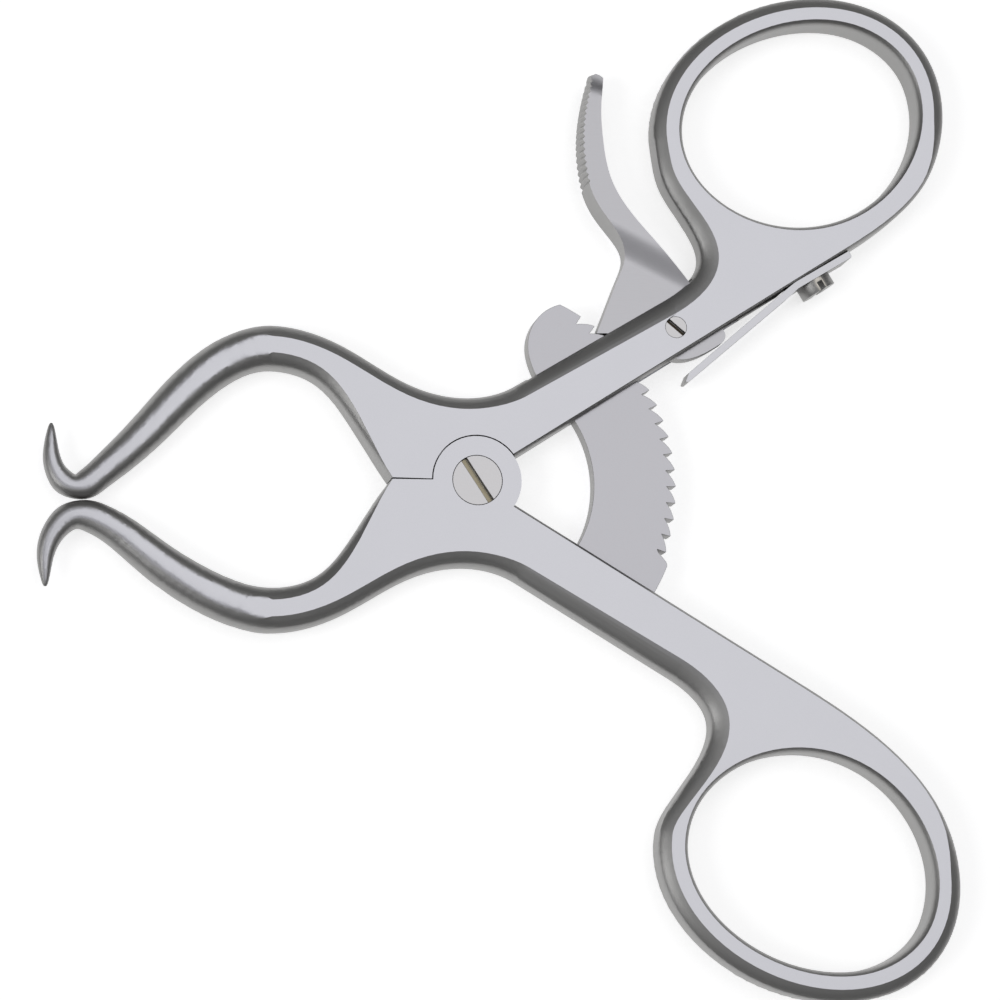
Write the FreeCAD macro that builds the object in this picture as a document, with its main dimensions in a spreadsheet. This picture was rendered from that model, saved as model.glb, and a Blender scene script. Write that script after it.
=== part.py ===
import FreeCAD, Part, Sketcher
import math
import os

# Self retaining spreader with finger rings, lying flat with its tips together.
# Millimetres. +X runs from the tips to the rings, +Z is up, and the origin is on
# the pivot axis at the underside. The two arms meet in a half lap at the pivot.
# Closing the rings turns the upper arm clockwise about +Z and parts the tips.

Vector = FreeCAD.Vector
UP = Vector(0, 0, 1)

# Driving dimensions: each alias becomes one cell of the sheet.
SIZES = {
    # both arms
    "arm_thickness": 4.6,
    "ground_off": 0.2,
    "outer_round": 1.0,
    "ring_hole_round": 1.2,
    "stop_gap": 0.12,
    "cutter_margin": 2.5,
    # hub
    "boss_radius": 5.15,
    "lap_gap": 0.12,
    "seat_gap": 0.15,
    "stop_reach": 9.9,
    "waist_reach": 1.6,
    "waist_height": 9.9,
    # shank between the hub and the ring
    "shank_angle": 31.2,
    "shank_width": 7.35,
    "shank_outer_start": 10.0,
    "shank_outer_end": 31.0,
    "upper_inner_end": 50.0,
    "upper_inner_rise": 1.25,
    "lower_inner_end": 40.5,
    "lower_inner_rise": 0.0,
    # neck on the outer side
    "neck_x": 26.95,
    "neck_y": 26.7,
    "neck_top_x": 22.7,
    "neck_top_y": 36.4,
    # finger rings
    "ring_length": 14.85,
    "ring_width": 12.1,
    "ring_egg": 0.07,
    "ring_tilt": 22.7,
    "ring_bar": 3.4,
    "upper_ring_x": 39.9,
    "upper_ring_y": 43.9,
    "lower_ring_x": 38.9,
    "lower_ring_y": 43.3,
    # bow from the hub to its apex
    "bow_reach": 23.6,
    "bow_width": 5.1,
    "bow_height": 15.2,
    "bow_outer_round": 2.1,
    "bow_inner_round": 2.1,
    "hub_inner_round": 0.4,
    # prongs, as centre line places measured from the pivot
    "prong_fall_x": 30.4,
    "upper_fall_y": 12.5,
    "lower_fall_y": 13.4,
    "prong_mid_x": 37.6,
    "upper_mid_y": 5.25,
    "lower_mid_y": 8.87,
    "prong_root_x": 43.0,
    "upper_root_y": 0.05,
    "lower_root_y": 5.18,
    "prong_turn_x": 45.9,
    "upper_turn_y": -1.46,
    "lower_turn_y": 4.73,
    "prong_hook_x": 47.8,
    "upper_hook_y": 0.1,
    "lower_hook_y": 6.25,
    "prong_claw_x": 48.5,
    "upper_claw_y": 2.8,
    "lower_claw_y": 9.2,
    "prong_tip_x": 48.5,
    "upper_tip_y": 5.8,
    "lower_tip_y": 12.85,
    "upper_claw_lean": 0.0,
    "lower_claw_lean": 0.45,
    "prong_taper": 2.0,
    "prong_fullness": 0.65,
    "section_crowding": 1.7,
    "flat_share": 0.3,
    "prong_roundness": 0.92,
    "tip_width": 0.28,
    # pivot screw
    "pivot_head_radius": 2.9,
    "pivot_head_height": 1.3,
    "pivot_shank_radius": 1.6,
    "pivot_slot_width": 0.7,
    "pivot_slot_depth": 0.6,
    "pivot_slot_angle": 123.0,
    "running_gap": 0.04,
    # ratchet sector
    "sector_thickness": 2.2,
    "sector_inner_radius": 13.9,
    "tooth_radius": 23.6,
    "tooth_depth": 1.1,
    "tooth_land": 0.12,
    "tooth_bulge": 0.12,
    "tooth_pitch": 4.8,
    "tooth_count": 17,
    "last_tooth_angle": -19.2,
    "root_step": 0.7,
    "root_angle": -23.0,
    "head_radius": 5.25,
    "head_sink": 3.7,
    "head_angle": 54.6,
    "tenon_depth": 3.2,
    "tenon_shoulder": 1.1,
    "tenon_gap": 0.03,
    # slot through the upper arm
    "slot_gap": 0.15,
    "slot_lead": 0.25,
    "slot_end": 35.4,
    "slot_inner_end": 38.6,
    # release lever
    "lever_along": 30.0,
    "lever_across": 3.73,
    "pawl_lag": 1.7,
    "pawl_step": 1.2,
    "pawl_gap": 0.1,
    "pawl_relief": 0.5,
    "nose_x": 16.9,
    "nose_y": 24.0,
    "heel_x": 18.0,
    "heel_y": 27.2,
    "thumb_bend_x": 15.1,
    "thumb_bend_y": 32.6,
    "thumb_hollow_x": 12.7,
    "thumb_hollow_y": 41.2,
    "thumb_top_x": 14.3,
    "thumb_top_y": 50.3,
    "thumb_top_width": 1.8,
    "thumb_crown": 0.45,
    "thumb_hollow_width": 2.7,
    "shoulder_x": 20.3,
    "shoulder_y": 30.4,
    "thumb_foot_x": 16.5,
    "thumb_foot_y": 35.9,
    "throat_back": 1.8,
    "throat_drop": 2.9,
    "tail_along": 34.3,
    "tail_radius": 1.1,
    "thumb_width": 4.4,
    "thumb_ramp": 1.0,
    "serration_pitch": 0.8,
    "serration_depth": 0.22,
    "serration_count": 18,
    # lever screw
    "lever_head_radius": 1.3,
    "lever_head_height": 0.75,
    "lever_shank_radius": 1.0,
    "lever_slot_width": 0.45,
    "lever_slot_depth": 0.45,
    "lever_slot_angle": -40.0,
    # leaf spring
    "spring_thickness": 0.85,
    "spring_tip_thickness": 0.5,
    "spring_width": 4.0,
    "spring_tip_width": 2.6,
    "spring_seat": 1.3,
    "spring_seat_start": 45.6,
    "spring_seat_end": 53.4,
    "spring_seat_runout": 1.8,
    "spring_length": 18.0,
    "spring_angle": 9.2,
    "spring_bend": 4.0,
    "spring_gap": 0.06,
    # spring screw
    "spring_head_radius": 2.15,
    "spring_head_height": 1.5,
    "spring_shank_radius": 1.1,
    "spring_shank_length": 5.0,
    "spring_slot_width": 0.7,
    "spring_slot_depth": 1.05,
    "spring_slot_angle": 90.0,
    "spring_screw_along": 48.2,
}

doc = FreeCAD.newDocument("spreader")
sheet = doc.addObject("Spreadsheet::Sheet", "Sizes")
for row, (alias, value) in enumerate(SIZES.items(), start=1):
    sheet.set(f"A{row}", alias)
    sheet.set(f"B{row}", str(value))
    sheet.setAlias(f"B{row}", alias)
doc.recompute()


def size(alias):
    """The value of one cell of the sheet."""
    return float(sheet.get(alias))


def bind(obj, **formulas):
    """Tie properties of an object to formulas on the sheet's cells."""
    for name, formula in formulas.items():
        obj.setExpression(name.replace("__", "."), formula)
    return obj


def polar(radius, degrees):
    """A plan point at a distance and an angle from the pivot axis."""
    angle = math.radians(degrees)
    return Vector(radius * math.cos(angle), radius * math.sin(angle), 0)


def along_shank(distance, offset):
    """A plan point of the upper arm, along and across its shank's inner edge."""
    angle = math.radians(size("shank_angle"))
    run = Vector(math.cos(angle), math.sin(angle), 0)
    rise = Vector(-math.sin(angle), math.cos(angle), 0)
    return run * distance + rise * offset


def line(start, end):
    """A straight curve."""
    return Part.LineSegment(start, end)


def arc(start, middle, end):
    """A round curve through three points."""
    return Part.Arc(start, middle, end)


def shapes(curves):
    """The edges of some curves."""
    return [curve.toShape() for curve in curves]


def smooth_curve(points, start, end):
    """A cubic spline through points with its two end directions given."""
    gaps = [after.distanceToPoint(before) for before, after in zip(points, points[1:])]
    slopes = [(q - p) / gap for p, q, gap in zip(points, points[1:], gaps)]
    # the directions at the inner points make the curvature run on smoothly
    last = len(points) - 1
    shares = [0.0]
    ways = [start]
    for i in range(1, last):
        before, after = gaps[i - 1], gaps[i]
        weight = 2 * (before + after) - after * shares[-1]
        shares.append(before / weight)
        pull = (slopes[i - 1] * after + slopes[i] * before) * 3
        ways.append((pull - ways[-1] * after) / weight)
    directions = [end]
    for i in range(last - 1, 0, -1):
        directions.insert(0, ways[i] - directions[0] * shares[i])
    directions.insert(0, start)

    poles = [points[0], points[0] + start * (gaps[0] / 3)]
    for i in range(1, last):
        poles += [points[i] - directions[i] * (gaps[i - 1] / 3)]
        poles += [points[i] + directions[i] * (gaps[i] / 3)]
    poles += [points[-1] - end * (gaps[-1] / 3), points[-1]]
    places = [sum(gaps[:i]) for i in range(len(points))]
    repeats = [4] + [2] * (last - 1) + [4]
    curve = Part.BSplineCurve()
    curve.buildFromPolesMultsKnots(poles, repeats, places, False, 3)
    return curve


def toward(start, end):
    """The unit direction from one point to another."""
    return (end - start).normalize()


def rounded_loop(corners):
    """A closed loop of straight runs, each corner given as a point and its radius."""
    curves, ends = [], []
    count = len(corners)
    for i, (point, radius) in enumerate(corners):
        back = toward(point, corners[i - 1][0])
        ahead = toward(point, corners[(i + 1) % count][0])
        if radius == 0:
            ends.append((point, point))
            continue
        half = back.getAngle(ahead) / 2
        cut = radius / math.tan(half)
        bisector = (back + ahead).normalize()
        middle = point + bisector * (radius / math.sin(half) - radius)
        ends.append((point + back * cut, point + ahead * cut))
        curves.append(arc(ends[-1][0], middle, ends[-1][1]))
    for i in range(count):
        curves.append(line(ends[i - 1][1], ends[i][0]))
    return curves


# Finger ring: an egg shaped loop, wider towards the outside


def egg_point(centre, grow, degrees):
    """A point of the ring's loop at an angle from its long axis."""
    angle = math.radians(degrees)
    tilt = math.radians(size("ring_tilt"))
    across = math.sin(angle)
    u = (size("ring_length") + grow) * (1 + size("ring_egg") * across) * math.cos(angle)
    v = (size("ring_width") + grow) * across
    return centre + Vector(
        u * math.cos(tilt) - v * math.sin(tilt), u * math.sin(tilt) + v * math.cos(tilt), 0
    )


def egg_direction(centre, grow, degrees):
    """The direction of clockwise travel along the loop at an angle."""
    return toward(egg_point(centre, grow, degrees + 1), egg_point(centre, grow, degrees - 1))


def ring_hole(centre):
    """The closed wire of the finger hole."""
    steps = 16
    curve = Part.BSplineCurve()
    points = [egg_point(centre, 0, 360 * i / steps) for i in range(steps)]
    curve.interpolate(Points=points, PeriodicFlag=True)
    return Part.Wire([curve.toShape()])


# Arm forging, drawn as the upper arm: the lower arm is turned over at the end


def between(start, end, along, across):
    """A plan point part of the way from one point to another, by shares of x and y."""
    return Vector(start.x + (end.x - start.x) * along, start.y + (end.y - start.y) * across, 0)


def outer_side(centre, foot):
    """The plan curves of the arm's outer side, from the bow's apex round the ring."""
    apex = Vector(-size("bow_reach"), size("bow_height") + size("bow_width") / 2, 0)
    waist = Vector(-size("waist_reach"), size("waist_height"), 0)
    shank_start = along_shank(size("shank_outer_start"), size("shank_width"))
    shank_end = along_shank(size("shank_outer_end"), size("shank_width"))
    run = along_shank(1, 0)
    bow = [apex, between(apex, waist, 0.37, 0.27), between(apex, waist, 0.73, 0.83), waist]
    bar = size("ring_bar")
    left, right = 164, -42
    neck = [
        shank_end,
        Vector(size("neck_x"), size("neck_y"), 0),
        Vector(size("neck_top_x"), size("neck_top_y"), 0),
        egg_point(centre, bar, left),
    ]
    count = 12
    loop = [egg_point(centre, bar, left + (right - left) * i / count) for i in range(count + 1)]
    neck_end = egg_direction(centre, bar, left)
    loop_end = egg_direction(centre, bar, right)
    return [
        smooth_curve([*bow, shank_start], Vector(1, 0, 0), run),
        line(shank_start, shank_end),
        smooth_curve(neck, run, neck_end),
        smooth_curve(loop, neck_end, loop_end),
        smooth_curve([loop[-1], foot], loop_end, toward(foot, Vector(0, 0, 0))),
    ]


def bow_inner_side(stop):
    """The plan curve from the stop face round the inside of the bow to its apex."""
    apex = Vector(-size("bow_reach"), size("bow_height") - size("bow_width") / 2, 0)
    points = [stop, between(stop, apex, 0.36, 0.585), between(stop, apex, 0.65, 0.91), apex]
    return smooth_curve(points, Vector(-0.63, 0.78, 0), Vector(-1, 0, 0))


def near_plan(edge, curves):
    """Whether a level edge of the blank runs along one of the plan curves."""
    low, high = edge.ParameterRange
    middle = edge.valueAt((low + high) / 2)
    flat = Part.Vertex(Vector(middle.x, middle.y, 0))
    ends = [edge.valueAt(low), edge.valueAt(high)]
    level = max(abs(p.z - middle.z) for p in ends) < 1e-6
    return level and min(flat.distToShape(curve)[0] for curve in curves) < 1e-4


def round_edges(solid, curves, start, end=None):
    """Round the edges over some plan curves, by one radius or from one to another."""
    edges = [edge for edge in solid.Edges if near_plan(edge, curves)]
    if end is None:
        return solid.makeFillet(start, edges)
    return solid.makeFillet(start, end, edges)


def arm_plate(arm):
    """The flat part of an arm: bow, hub, shank and ring, with its edges rounded."""
    centre = Vector(size(f"{arm}_ring_x"), size(f"{arm}_ring_y"), 0)
    lift = size("stop_gap") / 2
    foot = along_shank(size(f"{arm}_inner_end"), size(f"{arm}_inner_rise"))
    hub = Vector(foot.x * lift / foot.y, lift, 0)
    stop = Vector(-size("stop_reach"), lift, 0)
    straight = [line(foot, hub), line(hub, stop)]
    outer = outer_side(centre, foot)
    bow = bow_inner_side(stop)
    apex = line(bow.EndPoint, outer[0].StartPoint)
    outline = Part.Wire(shapes([*outer, *straight, bow, apex]))
    hole = ring_hole(centre)
    # the forging is thicker at first, and its rounded edges turn crisp when its faces are ground
    spare = size("ground_off")
    plate = Part.Face([outline, hole]).extrude(UP * (size("arm_thickness") + 2 * spare))
    plate.translate(UP * -spare)
    plate = round_edges(plate, hole.Edges, size("ring_hole_round"))
    plate = round_edges(plate, shapes([bow]), size("hub_inner_round"), size("bow_inner_round"))
    plate = round_edges(plate, shapes(outer), size("bow_outer_round"), size("outer_round"))
    reach = size("bow_reach") + size("upper_ring_x") + size("upper_ring_y")
    slab = Part.makeBox(2 * reach, 2 * reach, size("arm_thickness"), Vector(-reach, -reach, 0))
    return plate.common(slab).Solids[0]


def rounded_section(centre, normal, half_width, half_height, outer, inner, spare):
    """An upright section of the rod: its corners rounded, then its flats ground down."""

    def corner(side, level, radius):
        across = normal * (side * (half_width - radius))
        middle = centre + across + UP * (level * (half_height + spare - radius))
        out, up = normal * (side * radius), UP * (level * radius)
        end = math.asin(1 - spare / radius)
        halfway = middle + out * math.cos(end / 2) + up * math.sin(end / 2)
        return middle + out, halfway, middle + out * math.cos(end) + up * math.sin(end)

    outer_top, inner_top = corner(1, 1, outer), corner(-1, 1, inner)
    inner_low, outer_low = corner(-1, -1, inner), corner(1, -1, outer)
    curves = [
        arc(*outer_top),
        line(outer_top[2], inner_top[2]),
        arc(*reversed(inner_top)),
        line(inner_top[0], inner_low[0]),
        arc(*inner_low),
        line(inner_low[2], outer_low[2]),
        arc(*reversed(outer_low)),
        line(outer_low[0], outer_top[0]),
    ]
    return Part.Wire(shapes(curves))


def prong(arm, plate):
    """The tapering rod from the bow's end face to the hooked tip, rounder as it goes."""
    middle = size("arm_thickness") / 2
    places = [Vector(-size("bow_reach"), size("bow_height"), middle)]
    for word in ("fall", "mid", "root", "turn", "hook", "claw", "tip"):
        places.append(Vector(-size(f"prong_{word}_x"), size(f"{arm}_{word}_y"), middle))
    for place in places[-2:]:
        place.x -= size(f"{arm}_claw_lean")
    rod = smooth_curve(places, Vector(-1, 0, 0), toward(places[-2], places[-1])).toShape()

    def section(share):
        at = rod.getParameterByLength(rod.Length * share)
        ahead = rod.tangentAt(at)
        normal = Vector(ahead.y, -ahead.x, 0)
        kept = (1 - share ** size("prong_taper")) ** size("prong_fullness")
        thin = size("tip_width") * (1 - kept)
        half_width = (size("bow_width") * kept + thin) / 2
        half_height = (size("arm_thickness") * kept + thin) / 2
        full = size("prong_roundness") * min(half_width, half_height)
        rounder = min(share / size("flat_share"), 1)
        outer = size("bow_outer_round") + (full - size("bow_outer_round")) * rounder
        inner = size("bow_inner_round") + (full - size("bow_inner_round")) * rounder
        spare = size("ground_off") * (1 - rounder)
        sides = (half_width, half_height, min(outer, full), min(inner, full))
        return rounded_section(rod.valueAt(at), normal, *sides, spare)

    ends = [face for face in plate.Faces if abs(face.CenterOfMass.x + size("bow_reach")) < 1e-3]
    steps = 18
    # the sections stand closer together towards the tip, where the rod thins fastest
    shares = [1 - (1 - (i + 1) / steps) ** size("section_crowding") for i in range(steps)]
    sections = [ends[0].OuterWire, *(section(share) for share in shares)]
    return Part.makeLoft(sections, True, False)


def arm_blank(arm):
    """One arm's forging as an object of the document."""
    blank = doc.addObject("Part::Feature", f"{arm}_forging")
    plate = arm_plate(arm)
    forging = plate.fuse(prong(arm, plate))
    if arm == "lower":
        forging = forging.mirror(Vector(0, 0, 0), Vector(0, 1, 0))
    blank.Shape = forging
    return blank


# Machining shared by the arms


def cylinder(name, radius, height, x="0", y="0", z="0"):
    """An upright cylinder with every size tied to the sheet."""
    item = doc.addObject("Part::Cylinder", name)
    bind(item, Radius=radius, Height=height)
    return bind(item, Placement__Base__x=x, Placement__Base__y=y, Placement__Base__z=z)


def cut(name, base, tool):
    """One solid less another."""
    item = doc.addObject("Part::Cut", name)
    item.Base, item.Tool = base, tool
    return item


def fuse(name, *solids):
    """Some solids joined to one."""
    item = doc.addObject("Part::MultiFuse", name)
    item.Shapes = list(solids)
    return item


def plan_prism(name, curves, low, high):
    """An upright prism over a closed plan outline between two heights."""
    item = doc.addObject("Part::Feature", name)
    face = Part.Face(Part.Wire(Part.__sortEdges__(shapes(curves))))
    item.Shape = face.extrude(UP * (high - low))
    item.Placement.Base = UP * low
    return item


LAP = "Sizes.arm_thickness / 2"
HALF_GAP = "Sizes.lap_gap / 2"
SEAT = "Sizes.boss_radius + Sizes.seat_gap"


def lap_joint(arm, blank):
    """Take half the thickness away round the pivot and leave this arm's round boss."""
    if arm == "upper":
        seat_low, seat_height = f"{LAP} - {HALF_GAP}", f"{LAP} + {HALF_GAP} + 1"
        boss_low = "0"
    else:
        seat_low, seat_height = "-1", f"{LAP} + {HALF_GAP} + 1"
        boss_low = f"{LAP} + {HALF_GAP}"
    seat = cylinder(f"{arm}_seat_cutter", SEAT, seat_height, z=seat_low)
    boss = cylinder(f"{arm}_boss", "Sizes.boss_radius", f"{LAP} - {HALF_GAP}", z=boss_low)
    seated = cut(f"{arm}_seated", blank, seat)
    return fuse(f"{arm}_lapped", seated, boss)


def slot_cutter():
    """The slot that lets the ratchet sector and the lever pass through the upper shank."""
    gap = size("sector_thickness") / 2 + size("slot_gap")
    middle = size("arm_thickness") / 2
    clear = size("cutter_margin")
    start = size("sector_inner_radius") - size("slot_lead")
    low = math.degrees(math.asin(-clear / start)) + size("shank_angle")
    high = math.degrees(math.asin((size("shank_width") + clear) / start)) + size("shank_angle")
    lean = (size("slot_inner_end") - size("slot_end")) / size("shank_width")
    inner = along_shank(size("slot_inner_end") + lean * clear, -clear)
    outer = along_shank(size("slot_end") - lean * clear, size("shank_width") + clear)
    curves = [
        arc(polar(start, high), polar(start, (low + high) / 2), polar(start, low)),
        line(polar(start, low), inner),
        line(inner, outer),
        line(outer, polar(start, high)),
    ]
    return plan_prism("slot_cutter", curves, middle - gap, middle + gap)


def spring_seat_cutter():
    """The flat that the spring is screwed to, cut in the upper shank's inner edge."""
    start = size("spring_seat_start") - size("spring_seat_runout")
    end = size("spring_seat_end")
    level, depth = size("spring_seat"), size("spring_seat") + size("cutter_margin")
    corners = [(start, level), (end, level), (end, level - depth), (start, level - depth)]
    curves = rounded_loop([(along_shank(*corner), 0) for corner in corners])
    return plan_prism("spring_seat_cutter", curves, -1, size("arm_thickness") + 1)


# Screws: a slotted head on a plain shank, standing on its axis


def screw(name, words, shank_length):
    """A slotted cheese head screw whose head's underside is at its own origin."""
    radius, height = f"Sizes.{words}_head_radius", f"Sizes.{words}_head_height"
    head = bind(doc.addObject("Part::Cylinder", f"{name}_head"), Radius=radius, Height=height)
    shank = doc.addObject("Part::Cylinder", f"{name}_shank")
    bind(shank, Radius=f"Sizes.{words}_shank_radius", Height=shank_length)
    bind(shank, Placement__Base__z=f"-({shank_length})")
    whole = fuse(f"{name}_blank", head, shank)
    slot = doc.addObject("Part::Box", f"{name}_slot")
    width, depth = f"Sizes.{words}_slot_width", f"Sizes.{words}_slot_depth"
    bind(slot, Length=f"2 * {radius} + 2", Width=width, Height=f"{depth} + 1")
    # the slot turns about the screw's axis, so its corner goes round with its angle
    turn = f"Sizes.{words}_slot_angle * 1 deg"
    half = f"({radius} + 1)"
    bind(slot, Placement__Rotation__Angle=turn)
    bind(
        slot,
        Placement__Base__x=f"-{half} * cos({turn}) + {width} / 2 * sin({turn})",
        Placement__Base__y=f"-{half} * sin({turn}) - {width} / 2 * cos({turn})",
        Placement__Base__z=f"{height} - {depth}",
    )
    return cut(name, whole, slot)


# Pieces made from sketches


def datum(body, role):
    """One of a body's own origin planes or axes."""
    return next(item for item in body.Origin.OriginFeatures if item.Role == role)


def sketch(body, name, curves, role="XY_Plane"):
    """A sketch on one of the body's planes, holding the given curves."""
    item = body.newObject("Sketcher::SketchObject", name)
    item.AttachmentSupport = [(datum(body, role), "")]
    item.MapMode = "FlatFace"
    item.addGeometry(curves, False)
    return item


def pad(body, name, profile, length):
    """A pad of even depth on both sides of its sketch."""
    item = body.newObject("PartDesign::Pad", name)
    item.Profile = profile
    item.Midplane = True
    bind(item, Length=length)
    return item


def pocket(body, name, profile):
    """A pocket through everything, on both sides of its sketch."""
    item = body.newObject("PartDesign::Pocket", name)
    item.Profile = profile
    item.Type = "ThroughAll"
    item.Midplane = True
    return item


def bored(body, name, radius):
    """A bore through the body on its own origin, its radius tied to the sheet."""
    profile = sketch(body, f"{name}_circle", [Part.Circle(Vector(0, 0, 0), UP, 1)])
    profile.addConstraint(Sketcher.Constraint("Radius", 0, 1))
    profile.setExpression("Constraints[0]", radius)
    return pocket(body, name, profile)


# Ratchet sector: a curved rack with a round head, tenoned into the lower arm


def gullet(number):
    """The plan curves of one gullet: an upright flank and a back that bulges."""
    tip = size("last_tooth_angle") + (size("tooth_count") - 1 - number) * size("tooth_pitch")
    radius = size("tooth_radius")
    floor = radius - size("tooth_depth")
    clear = size("cutter_margin")
    land = math.degrees(size("tooth_land") / radius)
    next_tip = tip - size("tooth_pitch") + land
    foot, crest = polar(floor, tip), polar(radius, next_tip)
    middle_radius = (floor + radius) / 2 + size("tooth_bulge")
    back = arc(foot, polar(middle_radius, (tip + next_tip) / 2), crest)
    above, beside = polar(radius + clear, next_tip), polar(radius + clear, tip)
    return [back, line(crest, above), line(above, beside), line(beside, foot)]


def sector_outline():
    """The plan curves of the sector without its gullets."""
    radius, inner = size("tooth_radius"), size("sector_inner_radius")
    last = size("last_tooth_angle")
    seam = -size("shank_angle")
    floor, root = radius - size("tooth_depth"), radius + size("root_step")
    reach = radius - size("head_sink")
    centre = polar(reach, size("head_angle"))
    head = size("head_radius")

    def on_head(degrees):
        return centre + polar(head, degrees)

    swing = (reach**2 + radius**2 - head**2) / (2 * reach * radius)
    crown = size("head_angle") + math.degrees(math.acos(swing))
    crown_point = polar(radius, crown)
    from_head = crown_point - centre
    crown_turn = math.degrees(math.atan2(from_head.y, from_head.x))
    left = 190
    neck_angle = size("head_angle") - 4
    neck = polar(inner, neck_angle)
    neck_run = polar(1, neck_angle + 90)
    root_angle = size("root_angle")
    valley = polar(floor, last)
    root_point = polar(root, root_angle)
    return [
        arc(crown_point, polar(radius, (crown + last) / 2), polar(radius, last)),
        line(polar(radius, last), valley),
        smooth_curve([valley, root_point], polar(1, last - 60), polar(1, root_angle - 90)),
        arc(root_point, polar(root, (root_angle + seam) / 2), polar(root, seam)),
        line(polar(root, seam), polar(inner, seam)),
        arc(polar(inner, seam), polar(inner, (neck_angle + seam) / 2), neck),
        smooth_curve([neck, on_head(left)], neck_run, polar(1, left - 90)),
        arc(on_head(left), on_head((left + crown_turn) / 2), crown_point),
    ]


def tenon(grow):
    """The plan loop of the sector's tenon, or of its mortise when it is grown."""
    seam = -size("shank_angle")
    near = size("sector_inner_radius") + size("tenon_shoulder") - grow
    far = size("tooth_radius") + size("root_step") - size("tenon_shoulder") + grow
    down = polar(1, seam - 90)
    depth = size("tenon_depth") + grow
    inside = polar(1, seam + 90)
    corners = [
        polar(near, seam) + inside,
        polar(near, seam) + down * depth,
        polar(far, seam) + down * depth,
        polar(far, seam) + inside,
    ]
    return rounded_loop([(corner, 0) for corner in corners])


def ratchet_sector():
    """The curved rack, its teeth cut one by one round the pivot axis."""
    body = doc.addObject("PartDesign::Body", "ratchet_sector")
    plate = sketch(body, "sector_plan", sector_outline())
    pad(body, "sector_plate", plate, "Sizes.sector_thickness")
    stub = sketch(body, "tenon_plan", tenon(0))
    pad(body, "sector_tenon", stub, "Sizes.sector_thickness")
    first = pocket(body, "first_gullet", sketch(body, "gullet_plan", gullet(0)))
    teeth = body.newObject("PartDesign::PolarPattern", "gullets")
    teeth.Originals = [first]
    teeth.Axis = (datum(body, "Z_Axis"), [""])
    teeth.Reversed = True
    bind(teeth, Occurrences="Sizes.tooth_count - 1")
    bind(teeth, Angle="Sizes.tooth_pitch * (Sizes.tooth_count - 2)")
    body.Tip = teeth
    bind(body, Placement__Base__z=LAP)
    return body


# Release lever: a two toothed pawl, a plate in the slot, and an upright thumb pad


def lever_pivot():
    """Where the lever turns, in plan."""
    return along_shank(size("lever_along"), size("lever_across"))


def spring_face(distance):
    """A plan point on the free part of the spring's outer face."""
    back = size("spring_seat_start") - distance
    drop = back * math.tan(math.radians(size("spring_angle")))
    return along_shank(distance, size("spring_seat") - drop)


def back_radius(share):
    """How far the back of a tooth stands from the pivot, a share of the way to its tip."""
    radius, depth = size("tooth_radius"), size("tooth_depth")
    bulge = size("tooth_bulge") * 4 * share * (1 - share)
    return radius - depth + depth * share + bulge


def pawl_tip(tooth):
    """The tip of one pawl tooth, resting over the back behind a rack tooth's flank."""
    count = size("tooth_count") - 1 - tooth
    flank = size("last_tooth_angle") + count * size("tooth_pitch")
    # each next tooth stands further back, to swing clear of the flank before it
    lag = size("pawl_lag") + (tooth - 1) * size("pawl_step")
    share = lag / size("tooth_pitch")
    return polar(back_radius(share) + size("pawl_gap"), flank - lag)


def named_point(word):
    """A plan point of the lever from its two cells, measured from its pivot."""
    return Vector(size(f"{word}_x"), size(f"{word}_y"), 0) - lever_pivot()


def lever_sides():
    """The lever's left and right side curves, from the nose and the tail to the top."""
    nose, heel = named_point("nose"), named_point("heel")
    bend, hollow, top = (named_point(f"thumb_{word}") for word in ("bend", "hollow", "top"))
    shoulder, foot = named_point("shoulder"), named_point("thumb_foot")
    lean = toward(hollow, top)
    across = Vector(lean.y, -lean.x, 0)
    right_top = top + across * size("thumb_top_width")
    right_hollow = hollow + Vector(size("thumb_hollow_width"), 0, 0)
    angle = math.radians(size("spring_angle"))
    run, rise = along_shank(1, 0), along_shank(0, 1)
    out = rise * math.cos(angle) - run * math.sin(angle)
    tail = spring_face(size("tail_along")) - lever_pivot()
    tail_centre = tail + out * (size("spring_gap") + size("tail_radius"))
    tail_end = tail_centre + run * size("tail_radius")
    end_lean = Vector(0.25, 0.97, 0).normalize()
    left = smooth_curve([nose, heel, bend, hollow, top], toward(pawl_tip_local(1), nose), end_lean)
    right = smooth_curve(
        [right_top, right_hollow, foot, shoulder, tail_end], end_lean * -1, rise * -1
    )
    return left, right, tail_centre, out


def pawl_tip_local(tooth):
    """A pawl tip measured from the lever's pivot."""
    return pawl_tip(tooth) - lever_pivot()


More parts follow.
